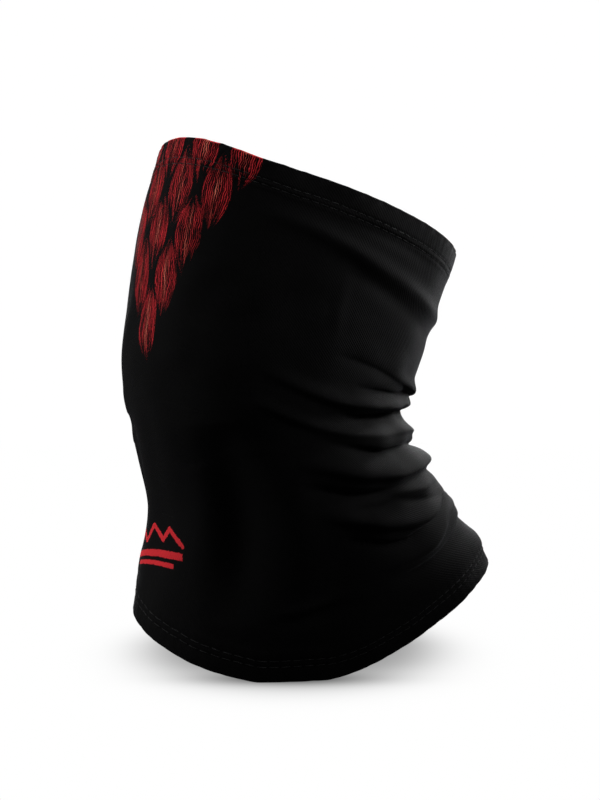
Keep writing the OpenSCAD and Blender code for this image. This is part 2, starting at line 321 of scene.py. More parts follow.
# Folds of the wearer's left side, which the other side has too, a little changed
SIDE_FOLDS = [
    ("hollow", 6.5, 5.0, [
        (74, 2.68, 0), (84, 2.68, -0.7), (94, 2.71, -1.8), (104, 2.75, -2.2), (114, 2.79, -1.4),
        (124, 2.84, 0)]),
    ("crease", 2.0, 3.2, [
        (84, 3.76, 0), (96, 3.77, -0.9), (108, 3.76, -1.5), (120, 3.72, -1.6), (131, 3.71, -0.7),
        (140, 3.72, 0)]),
    ("roll", 4.5, 3.0, [
        (66, 1.42, 0), (78, 1.38, 1.9), (90, 1.30, 2.8), (100, 1.22, 3.0), (109, 1.14, 3.1),
        (118, 1.08, 3.0), (129, 1.04, 2.6), (142, 0.98, 2.1), (152, 0.90, 1.0), (160, 0.85, 0)]),
    ("roll", 3.4, 2.6, [
        (96, 1.64, 0), (106, 1.60, 1.3), (118, 1.54, 1.6), (137, 1.40, 1.1), (150, 1.30, 0)]),
    ("crease", 1.8, 2.6, [
        (80, 1.46, 0), (88, 1.46, -1.4), (97, 1.45, -2.0), (105, 1.47, -2.2), (113, 1.39, -2.2),
        (122, 1.27, -1.8), (132, 1.14, -1.0), (140, 1.05, 0)]),
    ("crease", 2.0, 2.2, [(126, 0.77, 0), (138, 0.83, -1.2), (152, 0.84, -1.2), (166, 0.88, 0)]),
    ("roll", 2.6, 2.6, [(50, 0.52, 0), (59, 0.57, 1.4), (68, 0.62, 1.6), (78, 0.68, 0)]),
    ("hollow", 3.5, 3.5, [(48, 0.44, 0), (60, 0.48, -1.0), (71, 0.54, -1.0), (82, 0.58, 0)]),
    ("hollow", 4.0, 4.0, [(78, 5.68, 0), (90, 5.68, -0.8), (104, 5.68, -0.8), (122, 5.64, 0)]),
    ("hollow", 12.0, 12.0, [
        (63, 2.35, 0), (62, 1.90, 1.2), (61, 1.50, 2.0), (60, 1.10, 2.0), (59, 0.70, 0)]),
    ("hollow", 16.0, 14.0, [
        (36, 2.15, 0), (35, 1.75, -4.6), (36, 1.20, -6.6), (37, 0.75, -5.2), (38, 0.36, 0)]),
    ("hollow", 11.0, 11.0, [(92, 1.22, 0), (80, 1.06, -3.6), (71, 0.76, -3.6), (62, 0.42, 0)]),
    ("hollow", 12.0, 12.0, [(72, 4.90, 0), (66, 4.50, -1.0), (64, 4.10, -1.0), (68, 3.60, 0)]),
    ("roll", 4.5, 4.5, [(83, 5.30, 0), (83, 5.00, 0.5), (83, 4.50, 0.7), (84, 3.95, 0)]),
    ("hollow", 22.0, 22.0, [
        (-44, 5.20, 0), (-44, 4.60, 1.0), (-44, 3.60, 1.4), (-42, 2.80, 1.8), (-40, 2.45, 2.4),
        (-38, 2.05, 0)]),
]
MIRROR_GAIN = 0.8    # height of a fold on the other side, for 1 on this side
MIRROR_TURN = 4.0    # and its turn in degrees
MIRROR_RISE = 0.05   # and its greatest shift in stations
FOLD_LEAN = 0.6      # how far a roll hangs over the crease under it, per unit of its height
REACH = 3.2          # widths of a fold over which it is felt
CREASE_REACH = 1.6   # a crease is felt this much farther
CREASE_ROUND = 0.45  # widths over which a crease's bottom is round
SPLINE_STEPS = 10    # samples between two points of a line


def mirrored(fold):
    kind, above, below, points = fold
    shifted = [
        (360 - a + MIRROR_TURN, u + MIRROR_RISE * math.sin(a * 0.05), h * MIRROR_GAIN)
        for a, u, h in points
    ]
    return kind, above, below, shifted


def fold_shape(kind, v):
    """Height of a fold at v widths from its line."""
    if kind == "crease":
        return np.exp(CREASE_ROUND - np.sqrt(v**2 + CREASE_ROUND**2))
    return np.exp(-v**2)


def fold_lines():
    lines = []
    for kind, above, below, points in NAPE_FOLDS + SIDE_FOLDS + [mirrored(f) for f in SIDE_FOLDS]:
        row = spline(points, SPLINE_STEPS)
        spots = skin(row[:, 1], row[:, 0])
        _, up = skin_frame(row[:, 1], row[:, 0])
        lines.append((kind, above, below, spots, up, row[:, 2]))
    return lines


FOLD_LINES = fold_lines()


def ripple_waves():
    """Slow unevenness of the cloth: turns round the tube, waves along it, phase, height."""
    rng = np.random.default_rng(7)
    waves = []
    for _ in range(26):
        turns = rng.integers(3, 22)
        along = rng.normal(0, 5.0)
        waves.append((turns, along, rng.uniform(0, 6.28), 0.55 / (4 + abs(along) + 0.35 * turns)))
    return waves


RIPPLES = ripple_waves()


def ripple(u, a):
    total = np.zeros_like(u)
    for turns, along, phase, height in RIPPLES:
        total += height * np.sin(turns * np.radians(a) + along * u + phase)
    return total


def edge_detail(s, a, arcs, row, seed, nick):
    """Swelling, stitch grooves, puckers and dents of a hem at the distance s from its edge."""
    arc = np.interp(wrap(a), ARC_ANGLES, arcs)
    swell = 0.32 * (1 - smooth(HEM_W - 2.5, HEM_W + 0.5, s))
    grooves = -0.30 * bell(s - row, 0.8) - 0.30 * bell(s - row - NEEDLE_GAP, 0.8)
    tunnel = 0.16 * bell(s - row - NEEDLE_GAP / 2, 0.9)
    wave = np.sin(arc * 0.93 + 1.7 * np.sin(arc * 0.071 + seed) + 0.12 * s)
    pucker = 0.07 * wave * smooth(1, 5, s) * (1 - smooth(row + 4, row + 13, s))
    pitch = arcs[-1] / round(arcs[-1] / 12.0)
    n = np.round(arc / pitch)
    spot = (n + 0.28 * np.sin(n * 12.9 + seed)) * pitch
    size = nick * (1 + 0.5 * np.sin(n * 4.7 + seed * 3))
    dent = -size * bell(s - 1.2, 1.9) * bell(arc - spot + 0.5 * (s - 1.2), 2.1)
    return swell + grooves + tunnel + pucker + dent


def fold_height(u, a):
    """Height of the real cloth above the smooth face, from the folds and the hems."""
    shape = u.shape
    u, a = u.ravel(), a.ravel()
    points = skin(u, a)
    to_neck, to_face = edge_distances(u, a)
    total = np.zeros(len(u))
    for kind, above, below, line, up, height in FOLD_LINES:
        reach = REACH * max(above, below) * (CREASE_REACH if kind == "crease" else 1)
        near = np.all((points > line.min(0) - reach) & (points < line.max(0) + reach), axis=1)
        if not near.any():
            continue
        off, q = nearest(points[near], line)
        side = (off * up[np.round(q).astype(int)]).sum(1)
        width = np.where(side > 0, above, below)
        h = np.interp(q, np.arange(len(height)), height)
        total[near] += h * fold_shape(kind, np.linalg.norm(off, axis=1) / width)
    # Both hems hold the cloth flatter
    total = total * (0.25 + 0.75 * smooth(0, 16, to_neck)) * (0.2 + 0.8 * smooth(0, 14, to_face))
    total += ripple(u, a) * smooth(0, 10, to_neck) * smooth(0, 10, to_face)
    seam = np.abs(wrap(a - 180)) / 360 * CIRCUMFERENCE
    total += 0.45 * bell(seam - 2.6, 1.8) - 0.5 * bell(seam, 0.9)
    total += edge_detail(to_neck, a, NECK_ARC, NECK_ROW, 1.0, 0.25)
    total += edge_detail(to_face, a, FACE_ARC, FACE_ROW, 2.0, 0.65)
    return total.reshape(shape)


# Moves of the two edges, which fade away along the cloth: angle, mm up, mm out
FACE_MOVES = np.array([
    (-110, 0, 0), (-60, -1.0, -1.6), (-36, -1.6, -2.8), (-18, -1.0, -2.8), (-6, 0.8, -1.0),
    (6, 1.8, 0), (18, 1.8, 0), (30, 0.4, 0), (44, -1.5, 0), (58, -1.2, 0), (74, 0.4, 0),
    (90, 1.6, 0), (110, 2.2, 0.6), (132, 2.0, 1.4), (150, 1.6, 1.6), (190, 0, 0),
], float)
NECK_MOVES = np.array([
    (-110, 0, 0), (-60, 0, -3.2), (-40, 0, -5.0), (-24, -0.5, -5.0), (-10, -2.6, -2.6),
    (6, -3.4, 0), (24, -2.6, 0), (40, -0.6, 0), (74, 0.6, 0), (90, 1.4, 0), (104, 0.6, 0),
    (118, -1.2, 0.8), (136, -1.6, 1.6), (152, -0.6, 1.4), (190, 0, 0),
], float)
MOVE_FADE = 34.0     # mm from the edge over which a move fades


def edge_moves(u, a):
    """Up and out moves of the cloth near its two edges, mm."""
    to_neck, to_face = edge_distances(u, a)
    total = np.zeros((2,) + u.shape)
    for table, gap in ((FACE_MOVES, to_face), (NECK_MOVES, to_neck)):
        fade = 1 - smooth(0, MOVE_FADE, gap)
        for k in (0, 1):
            total[k] += fade * np.interp(wrap(a), table[:, 0], table[:, k + 1])
    return total


def place(u, a, depth=0.0, height=None):
    """Point in millimetres at depth inside the outer face of the real cloth."""
    u, a = np.broadcast_arrays(np.asarray(u, float), np.asarray(a, float))
    if height is None:
        height = fold_height(u, a)
    out, up = skin_frame(u, a)
    depth = np.broadcast_to(depth, u.shape)
    rise, swell = edge_moves(u, a)
    p = skin(u, a) + (height + swell - depth)[..., None] * out
    p += (rise - FOLD_LEAN * height)[..., None] * up
    p[..., 2] = np.maximum(p[..., 2], 0)
    return p


# ---- Meshes ----

SHARP = math.radians(60)    # edges bent more than this aren't smoothed


def mesh_object(name, points, faces, material):
    mesh = bpy.data.meshes.new(name)
    mesh.from_pydata(points, [], faces)
    mesh.materials.append(material)
    made = bpy.data.objects.new(name, mesh)
    bpy.context.scene.collection.objects.link(made)
    return made


def new_piece(name, points, faces, material, node, attributes):
    """A piece that rides on the only body and stands for one CAD node."""
    piece = mesh_object(name, (points * MM).tolist(), faces, material)
    mesh = piece.data
    for key, values in attributes.items():
        flat = np.asarray(values, np.float32)
        kind, field = ("FLOAT_VECTOR", "vector") if flat.ndim == 2 else ("FLOAT", "value")
        mesh.attributes.new(key, kind, "POINT").data.foreach_set(field, flat.ravel())
    mesh.shade_smooth()
    mesh.set_sharp_from_angle(angle=SHARP)
    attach(piece, "root")
    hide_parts(node)
    return piece


def grid_faces(numbers):
    """Quads of a grid of vertex numbers, facing out when rows go up and columns go round."""
    a, b = numbers[:-1, :-1].ravel(), numbers[:-1, 1:].ravel()
    c, d = numbers[1:, 1:].ravel(), numbers[1:, :-1].ravel()
    return np.stack([a, b, c, d], 1).tolist()


def wall_faces(top, low):
    """Triangles between a row of top vertices and a row of fewer low ones."""
    k = (len(top) - 1) // (len(low) - 1)
    faces = []
    for j in range(len(low) - 1):
        for i in range(k):
            foot = low[j] if i < (k + 1) // 2 else low[j + 1]
            faces.append((top[j * k + i + 1], top[j * k + i], foot))
        faces.append((low[j], low[j + 1], top[j * k + (k + 1) // 2]))
    return faces


def shell_faces(rows, cols, row_step, col_step):
    """Faces of a closed sheet whose inner face has fewer rows and columns."""
    top = np.arange(rows * cols).reshape(rows, cols)
    low_shape = ((rows - 1) // row_step + 1, (cols - 1) // col_step + 1)
    low = rows * cols + np.arange(low_shape[0] * low_shape[1]).reshape(low_shape)
    faces = grid_faces(top) + [f[::-1] for f in grid_faces(low)]
    for t, b in (
        (top[0], low[0]), (top[:, -1], low[:, -1]),
        (top[-1, ::-1], low[-1, ::-1]), (top[::-1, 0], low[::-1, 0]),
    ):
        faces += wall_faces(t.tolist(), b.tolist())
    return faces


def sheet_piece(name, node, grids, values, steps, material):
    """A closed sheet between two grids of points, the second coarser by these steps."""
    points = np.concatenate([g.reshape(-1, 3) for g in grids])
    both = {key: np.concatenate([v[key] for v in values]) for key in values[0]}
    faces = shell_faces(*grids[0].shape[:2], *steps)
    return new_piece(name, points, faces, material, node, both)


def tube_faces(count, sides, closed):
    """Faces of a tube of cross-sections with the same number of points."""
    ring = np.arange(count * sides).reshape(count, sides)
    nxt = np.roll(ring, -1, 0) if closed else ring[1:]
    here = ring if closed else ring[:-1]
    a, b = here, np.roll(here, -1, 1)
    c, d = np.roll(nxt, -1, 1), nxt
    faces = np.stack([a, b, c, d], -1).reshape(-1, 4).tolist()
    if not closed:
        faces += [ring[0, ::-1].tolist(), ring[-1].tolist()]
    return faces


# ---- Materials ----

class Nodes:
    """Short names for building one node material."""

    def __init__(self, name):
        self.material = bpy.data.materials.new(name)
        self.material.use_nodes = True
        self.tree = self.material.node_tree
        self.shader = self.tree.nodes["Principled BSDF"]

    def put(self, value, socket):
        if hasattr(value, "links"):
            self.tree.links.new(value, socket)
        else:
            socket.default_value = value

    def set(self, **values):
        """Puts each value, a constant or a link, on the shader's socket Like_This."""
        for key, value in values.items():
            self.put(value, self.shader.inputs[key.replace("_", " ")])

    def node(self, kind, inputs=(), **settings):
        made = self.tree.nodes.new(kind)
        for key, value in settings.items():
            setattr(made, key, value)
        for key, value in dict(inputs).items():
            self.put(value, made.inputs[key])
        return made

    def math(self, operation, a, b=0.0, c=0.0):
        made = self.node("ShaderNodeMath", {0: a, 1: b, 2: c}, operation=operation)
        return made.outputs[0]

    def plus(self, a, b):
        return self.math("ADD", a, b)

    def minus(self, a, b):
        return self.math("SUBTRACT", a, b)

    def times(self, a, b):
        return self.math("MULTIPLY", a, b)

    def over(self, a, b):
        return self.math("DIVIDE", a, b)

    def length(self, a, b):
        return self.math("SQRT", self.plus(self.times(a, a), self.times(b, b)))

    def attribute(self, name):
        return self.node("ShaderNodeAttribute", attribute_name=name, attribute_type="GEOMETRY")

    def split(self, vector):
        return self.node("ShaderNodeSeparateXYZ", {0: vector}).outputs

    def noise(self, vector, scale, detail=2.0, rough=0.5):
        made = self.node(
            "ShaderNodeTexNoise",
            {"Vector": vector, "Scale": scale, "Detail": detail, "Roughness": rough})
        return made.outputs["Fac"]

    def mix(self, fac, a, b):
        made = self.node("ShaderNodeMix", data_type="RGBA")
        for value, key in ((fac, 0), (a, 6), (b, 7)):
            self.put(value, made.inputs[key])
        return made.outputs[2]

    def remap(self, value, low, high, to_low, to_high):
        made = self.node(
            "ShaderNodeMapRange",
            {"Value": value, "From Min": low, "From Max": high, "To Min": to_low, "To Max": to_high})
        return made.outputs[0]

    def bump(self, height, distance, strength, under=None):
        made = self.node(
            "ShaderNodeBump", {"Height": height, "Distance": distance, "Strength": strength})
        if under is not None:
            self.put(under, made.inputs["Normal"])
        return made.outputs[0]

    def wave(self, phase):
        """0 to 1 and back once for each unit of phase."""
        s = self.math("SINE", self.times(phase, 2 * math.pi))
        return self.math("MULTIPLY_ADD", s, 0.5, 0.5)


BLACK = (0.0018, 0.0018, 0.0019, 1)
# Lighter black: for random worn patches, and for painted light on fold ridges and stitch tops.
WORN_AND_PAINTED_LIGHT = (0.0045, 0.0044, 0.0047, 1)
RIB_PITCH = 1.4      # of the diagonal rib in the knit, mm
WALE = 1.0           # width of one knitted stitch, mm
COURSE = 0.8         # height of one knitted stitch, mm


def knit_height(n, x, y):
    """Height of a stockinette knit with a fine diagonal rib."""
    column = n.math("FRACT", n.over(x, WALE))
    leg = n.math("ABSOLUTE", n.minus(column, 0.5))
    course = n.math("MULTIPLY_ADD", leg, -1.1, n.over(y, COURSE))
    stitches = n.times(n.wave(course), n.math("SINE", n.times(column, math.pi)))
    diagonal = n.over(n.plus(x, y), RIB_PITCH * math.sqrt(2))
    return n.math("MULTIPLY_ADD", n.wave(diagonal), 0.8, n.times(stitches, 0.7))


def knit_base(n, roughness=0.72):
    """Roughness and bump of the black knit; returns its coordinates, colour and height. The colour mixes
    random wear with painted shade: darker in the creases of the folds and between the stitches, lighter
    on ridges and stitch tops.
    """
    cloth = n.attribute("cloth").outputs["Vector"]
    x, y, _ = n.split(cloth)
    height = knit_height(n, x, y)
    fuzz = n.noise(cloth, 1.9, 3.0, 0.7)
    patches = n.noise(cloth, 0.035, 3.0, 0.6)
    # Painted shade: through the fold attribute the cloth is darker in the creases and lighter on the
    # ridges; the noise patches and fuzz add random wear.
    lift = n.remap(n.attribute("fold").outputs["Fac"], -3.0, 2.5, 0.0, 1.0)
    wear_and_shade = n.times(n.plus(lift, patches), 0.5)
    wear_and_shade = n.math("MULTIPLY_ADD", fuzz, 0.3, n.times(wear_and_shade, 0.75))
    colour = n.mix(wear_and_shade, BLACK, WORN_AND_PAINTED_LIGHT)
    # Painted shade: the knit is darker between its stitches and lighter on their tops.
    colour = n.mix(n.times(height, 0.35), colour, WORN_AND_PAINTED_LIGHT)
    n.set(Roughness=n.remap(fuzz, 0.2, 0.8, roughness - 0.08, roughness + 0.14))
    body = n.bump(height, 0.00014, 0.55)
    n.set(Normal=n.bump(fuzz, 0.00025, 0.35, body))
    n.set(Specular_IOR_Level=0.04, Sheen_Weight=0.13, Sheen_Roughness=0.30,
          Sheen_Tint=(0.93, 0.94, 1.0, 1))
    return cloth, colour, height


def make_knit(name, roughness=0.72):
    n = Nodes(name)
    _, colour, _ = knit_base(n, roughness)
    n.set(Base_Color=colour)
    return n.material


DEEP_RED = (0.26, 0.004, 0.006, 1)
BRIGHT_RED = (0.90, 0.038, 0.050, 1)
PALE = (0.96, 0.50, 0.30, 1)
STEADY = 4.0         # strand numbers up to this, the badge's, are drawn without sway


def make_print(name):
    """The same knit under red dye: the ink attribute gives cover, strand number and highlight."""
    n = Nodes(name)
    cloth, colour, height = knit_base(n)
    cover, strand, light = n.split(n.attribute("ink").outputs["Vector"])
    grain = n.noise(cloth, 2.4, 2.0, 0.6)
    streak = n.noise(cloth, 0.55, 3.0, 0.6)
    sway = n.noise(cloth, 0.16, 2.0, 0.5)
    loose = n.remap(strand, STEADY, STEADY + 15, 0.0, 2.6)
    drift = n.math("MULTIPLY_ADD", n.minus(sway, 0.5), loose, strand)
    drift = n.math("MULTIPLY_ADD", n.minus(streak, 0.5), 0.9, drift)
    depth = n.math("MULTIPLY_ADD", cover, 1.15, n.wave(drift))
    depth = n.math("MULTIPLY_ADD", n.minus(grain, 0.5), 0.55, depth)
    mask = n.remap(depth, 1.16, 1.36, 0.0, 1.0)
    shade = n.math("MULTIPLY_ADD", streak, 0.9, n.times(depth, 0.55))
    red = n.mix(n.remap(shade, 0.78, 1.24, 0.0, 1.0), DEEP_RED, BRIGHT_RED)
    red = n.mix(n.times(light, n.remap(depth, 1.25, 1.8, 0.0, 1.0)), red, PALE)
    # Painted shade: the print darkens towards black between the knit's stitches.
    red = n.mix(n.times(n.minus(1.0, height), 0.22), red, BLACK)
    n.set(Base_Color=n.mix(mask, colour, red))
    return n.material


def make_thread(name, colour, shine=0.35):
    """Twisted thread: x of the cloth attribute runs along it and y round it, in mm."""
    n = Nodes(name)
    cloth = n.attribute("cloth").outputs["Vector"]
    x, y, _ = n.split(cloth)
    ply = n.wave(n.plus(n.over(x, 0.9), n.over(y, 0.8)))
    hair = n.noise(cloth, 5.0, 3.0, 0.7)
    # Painted shade: the thread is darker in the grooves of its twist; the hair noise adds random tone.
    twist_shade_colour = tuple(c * 0.35 for c in colour[:3]) + (1,)
    n.set(Base_Color=n.mix(n.math("MULTIPLY_ADD", hair, 0.4, n.times(ply, 0.7)), twist_shade_colour, colour))
    n.set(Roughness=n.remap(hair, 0.2, 0.8, 0.42, 0.7), Specular_IOR_Level=shine, Sheen_Weight=0.1,
          Normal=n.bump(ply, 0.0001, 0.8, n.bump(hair, 0.00005, 0.4)))
    return n.material


def make_ribbon(name):
    """White satin label ribbon with a woven edge."""
    n = Nodes(name)
    vector = n.attribute("cloth").outputs["Vector"]
    x, y, _ = n.split(vector)
    warp = n.wave(n.over(x, 0.28))
    weft = n.wave(n.plus(n.over(y, 0.42), n.over(x, 2.24)))
    dust = n.noise(vector, 0.25, 4.0, 0.6)
    mixed = n.math("MULTIPLY_ADD", weft, 0.25, n.times(dust, 0.5))
    n.set(Base_Color=n.mix(mixed, (0.80, 0.79, 0.76, 1), (0.60, 0.59, 0.56, 1)))
    n.set(Roughness=n.remap(dust, 0.2, 0.8, 0.34, 0.5), Sheen_Weight=0.15,
          Normal=n.bump(weft, 0.00006, 0.5, n.bump(warp, 0.00005, 0.6)))
    return n.material


KNIT = make_knit("black_knit")
KNIT_BACK = make_knit("black_knit_inner", 0.8)
PRINT = make_print("printed_knit")
THREAD = make_thread("charcoal_thread", (0.015, 0.015, 0.016, 1), 0.14)
LOOPER = make_thread("black_thread", (0.018, 0.018, 0.020, 1), 0.25)
WHITE_THREAD = make_thread("white_thread", (0.55, 0.54, 0.52, 1))
RIBBON = make_ribbon("white_ribbon")


# ---- The print: a lattice of plain leaves on the front, and a plain badge ----
# Flat coordinates in mm: x to the wearer's left of the middle line, y down from the face edge

PRINT_MIDDLE = 4.0              # angle of the middle line
DEGREE_MM = 1.33                # cloth per degree at the throat
PRINT_HALF = 60.0               # mm from the middle line at which the print stops
HEM_PRINT_REACH = 44            # the same on the fold of the hem, degrees
SOLID = 1.3                     # cover at which strands close up

LEAF_HALF = 7.8                 # half width of a leaf, mm
LEAF_TIP = 0.4                  # and at its two points
LEAF_LENGTH = 48.0
LEAF_PITCH = 52.0               # from one leaf of a column to the next
LEAF_TOP = -22.0                # of the first column, which starts inside the hem
COLUMN_GAP = 11.5
COLUMNS = 5                     # from the middle line to each side
LATTICE_END = 140.0             # lowest point of a leaf in the middle column
LATTICE_RISE = 24.0             # and how much higher the print ends for each column
STRANDS = 14                    # across one leaf
LEAF_COVER = 0.56
STRAND_ROOM = 40                # strand numbers kept free for each leaf
STRAND_PHASE = 0.25             # number, past a whole one, of a strand's middle
LEAF_SEED = 100                 # random seed of the first leaf


def leaf(middle, top):
    """One bundle of strands between two bowed lines: guide lines, strands and their weight."""
    t = np.linspace(0, 1, 7)
    half = LEAF_TIP + LEAF_HALF * np.sin(np.pi * t) ** 0.9
    y = top + LEAF_LENGTH * t
    return np.stack([middle - half, y], 1), np.stack([middle + half, y], 1), STRANDS, LEAF_COVER


def lattice():
    """The leaves of one side. Every other column is moved by half a pitch."""
    leaves = []
    for column in range(COLUMNS):
        top = LEAF_TOP - LEAF_PITCH / 2 * (column % 2)
        while top + LEAF_LENGTH <= LATTICE_END - LATTICE_RISE * column:
            leaves.append(leaf(column * COLUMN_GAP, top))
            top += LEAF_PITCH
    return leaves


BUNDLES = lattice()


def print_xy(u, a):
    return wrap(a - PRINT_MIDDLE) * DEGREE_MM, FRONT_U[-1] - np.interp(u, TABLE_U, FRONT_U)


def lay_bundle(points, bundle, number, ink):
    """Draws one bundle where it covers more than what is there."""
    first, second, count, weight = bundle
    rng = np.random.default_rng(LEAF_SEED + number)
    low, high = spline(first, SPLINE_STEPS), spline(second, SPLINE_STEPS)
    middle, across = (low + high) / 2, (high - low) / 2
    half = np.linalg.norm(across, axis=1)
    least, most = np.minimum(low, high).min(0) - 1, np.maximum(low, high).max(0) + 1
    near = np.flatnonzero(np.all((points > least) & (points < most), axis=1))
    if not len(near):
        return
    off, q = nearest(points[near], middle)
    k = np.round(q).astype(int)
    side = (off * (across / half[:, None])[k]).sum(1) / np.interp(q, np.arange(len(half)), half)
    t = q / (len(half) - 1)
    strand = (side + 1) / 2 * count
    index = np.clip(strand.astype(int), 0, count - 1)
    start, stop = rng.uniform(-0.1, 0.22, count)[index], rng.uniform(0.74, 1.1, count)[index]
    rate, turn = rng.uniform(7, 19, count)[index], rng.uniform(0, 6.28, count)[index]
    heavy = rng.uniform(0.7, 1.25, count)[index]
    cover = weight * heavy * (0.78 + 0.30 * np.sin(t * rate + turn))
    cover *= clamp01((t - start) / 0.12) * clamp01((stop - t) / 0.2) * (np.abs(side) < 1)
    gap = np.linalg.norm(off, axis=1) - np.abs(side) * half[k]
    cover *= gap < 0.6
    old = ink[near, 0]
    wins = cover > old
    ink[near, 0] = np.where(wins, cover - 0.35 * old, old - 0.35 * cover)
    ink[near[wins], 1] = strand[wins] - STRAND_PHASE + (number + 1) * STRAND_ROOM
    ink[near[wins], 2] = (0.8 * bell(side, 0.2) * bell(t - 0.5, 0.3))[wins]


def front_ink(u, a):
    """Cover, strand number and highlight of the front print."""
    x, y = print_xy(u.ravel(), a.ravel())
    ink = np.zeros((len(x), 3))
    for side in (1, -1):
        here = np.flatnonzero(x * side >= 0)
        part = np.zeros((len(here), 3))
        points = np.stack([x[here] * side, y[here]], 1)
        for number, bundle in enumerate(BUNDLES):
            lay_bundle(points, bundle, number * 2 + (side < 0), part)
        ink[here] = part
    ink[:, 0] = np.maximum(ink[:, 0], 0) * (1 - smooth(PRINT_HALF, PRINT_HALF + 2, np.abs(x)))
    return ink


BADGE_MIDDLE = -5.0             # angle of the badge's middle
BADGE_STATION = 0.71
BADGE_TURN = math.radians(-13)  # the cloth's wave tilts it
BADGE_LINE = 1.35               # half width of the zigzag's line, mm
INK_EDGE = 0.8                  # mm over which the badge's ink fades out
ZIGZAG = np.array([(-25, -1), (-17, -10), (-10, -3), (-1, -12), (8, -3), (14, -9), (24, -1)], float)
BARS = [(2.6, 6.6, -25, 24), (8.8, 11.4, -19, 18)]      # top, bottom, left, right


def badge_ink(u, a):
    """A zigzag ridge over two bars, which says nothing."""
    x = wrap(a.ravel() - BADGE_MIDDLE) * DEGREE_MM
    y = np.interp(BADGE_STATION, TABLE_U, FRONT_U) - np.interp(u.ravel(), TABLE_U, FRONT_U)
    x, y = (x * math.cos(BADGE_TURN) + y * math.sin(BADGE_TURN),
            -x * math.sin(BADGE_TURN) + y * math.cos(BADGE_TURN))
    total = np.zeros((len(x), 3))
    for p, q in zip(ZIGZAG[:-1], ZIGZAG[1:]):
        way = (q - p) / np.linalg.norm(q - p)
        t = np.clip((x - p[0]) * way[0] + (y - p[1]) * way[1], 0, np.linalg.norm(q - p))
        gap = np.hypot(x - p[0] - t * way[0], y - p[1] - t * way[1])
        total[:, 0] = np.maximum(total[:, 0], SOLID * clamp01(0.5 + (BADGE_LINE - gap) / INK_EDGE))
    for top, bottom, left, right in BARS:
        inside = np.minimum(np.minimum(x - left, right - x), np.minimum(y - top, bottom - y))
        total[:, 0] = np.maximum(total[:, 0], SOLID * clamp01(0.5 + inside / INK_EDGE))
    return total


# ---- The knitted tube and its printed faces ----

# Window of each printed face: lowest and highest angle, lowest and highest station
FRONT_WINDOW = (PRINT_MIDDLE - 47.0, PRINT_MIDDLE + 47.0, 2.25, 6.0)
BADGE_WINDOW = (BADGE_MIDDLE - 22.0, BADGE_MIDDLE + 22.0, 0.38, 1.04)
WINDOW_MARGIN = (0.6, 0.015)    # degrees and stations by which the recess is smaller than it
RECESS = 0.5            # depth of the tube's face under a printed face
FILM_TOP = -0.03        # depth of a printed face
FILM_LOW = 0.3          # and of its back
TUBE_COLS = 320
EDGE_ROWS = 20          # across each hem
BODY_ROWS = 204         # between the hems
COARSE = 4              # the unseen side of a sheet has one point for this many of the seen side
SEAM_SLIT = 0.006       # degrees by which each side of the seam stays clear of the other


def attributes_of(u, a, height, ink=None):
    x, y = cloth_xy(u, a)
    found = {"cloth": np.stack([x, y, np.zeros_like(x)], -1).reshape(-1, 3), "fold": height.ravel()}
    if ink is not None:
        found["ink"] = ink
    return found


def tube_rows(a):
    """u of every ring of the tube at the angles a."""
    spots = np.linspace(RIM, HEM_W, EDGE_ROWS + 1)
    neck = [from_neck(s, a) for s in spots]
    face = [from_face(s, a) for s in spots[::-1]]
    low, high = neck[-1], face[0]
    body = [low + (high - low) * k / BODY_ROWS for k in range(1, BODY_ROWS)]
    return np.array(neck + body + face)


def in_window(u, a, window):
    """Whether the cloth is sunk there, under the printed face that has this window."""
    low_a, high_a, low_u, high_u = window
    margin_a, margin_u = WINDOW_MARGIN
    turn = wrap(a - (low_a + high_a) / 2)
    top = high_u >= LAST
    return (
        (np.abs(turn) < (high_a - low_a) / 2 - margin_a)
        & (u > low_u + margin_u) & (top | (u < high_u - margin_u))
    )


def make_tube():
    a = np.linspace(-180, 180, TUBE_COLS + 1)
    a[0] += SEAM_SLIT
    a[-1] -= SEAM_SLIT
    u = tube_rows(a)
    a = np.broadcast_to(a, u.shape)
    height = fold_height(u, a)
    sunk = in_window(u, a, FRONT_WINDOW) | in_window(u, a, BADGE_WINDOW)
    outer = place(u, a, np.where(sunk, RECESS, 0.0), height)
    ui, ai, hi = u[:, ::COARSE], a[:, ::COARSE], height[:, ::COARSE]
    inner = place(ui, ai, CLOTH_T, hi)
    values = [attributes_of(u, a, height), attributes_of(ui, ai, hi)]
    return sheet_piece("gaiter_cloth", "knit_tube", [outer, inner], values, (1, COARSE), KNIT)


def make_film(name, window, cols, rows, ink):
    """A printed face: a fine grid that lies in the tube's recess, level with the cloth round it."""
    a = np.linspace(window[0], window[1], cols * COARSE + 1)
    high = from_face(RIM, a) if window[3] >= LAST else np.full_like(a, window[3])
    f = np.linspace(0, 1, rows * COARSE + 1)[:, None]
    u = window[2] + (high - window[2]) * f
    a = np.broadcast_to(a, u.shape)
    height = fold_height(u, a)
    top = place(u, a, FILM_TOP, height)
    ul, al, hl = (v[::COARSE, ::COARSE] for v in (u, a, height))
    low = place(ul, al, FILM_LOW, hl)
    blank = np.zeros((ul.size, 3))
    values = [attributes_of(u, a, height, ink(u, a)), attributes_of(ul, al, hl, blank)]
    return sheet_piece(name, "knit_tube", [top, low], values, (COARSE, COARSE), PRINT)


# ---- Hems ----

def hem_outline():
    """Cross-section of a hem: the fold, the inner ply's face and its back, as (s, depth)."""
    turn = np.linspace(-90, 90, 9)
    fold = [(RIM - RIM * math.cos(math.radians(t)), RIM + RIM * math.sin(math.radians(t))) for t in turn]
    spots = np.linspace(RIM, HEM_W, 15)[1:]
    ply = [(s, 2 * RIM) for s in spots]
    end = [(HEM_W + 0.25, 2 * RIM - CLOTH_T / 2)]
    back = [(s, 2 * RIM - CLOTH_T) for s in spots[::-1]]
    root = [(RIM, 2 * RIM - CLOTH_T), (RIM - 0.1, RIM), (RIM, CLOTH_T)]
    return np.array(fold + ply + end + back + root)


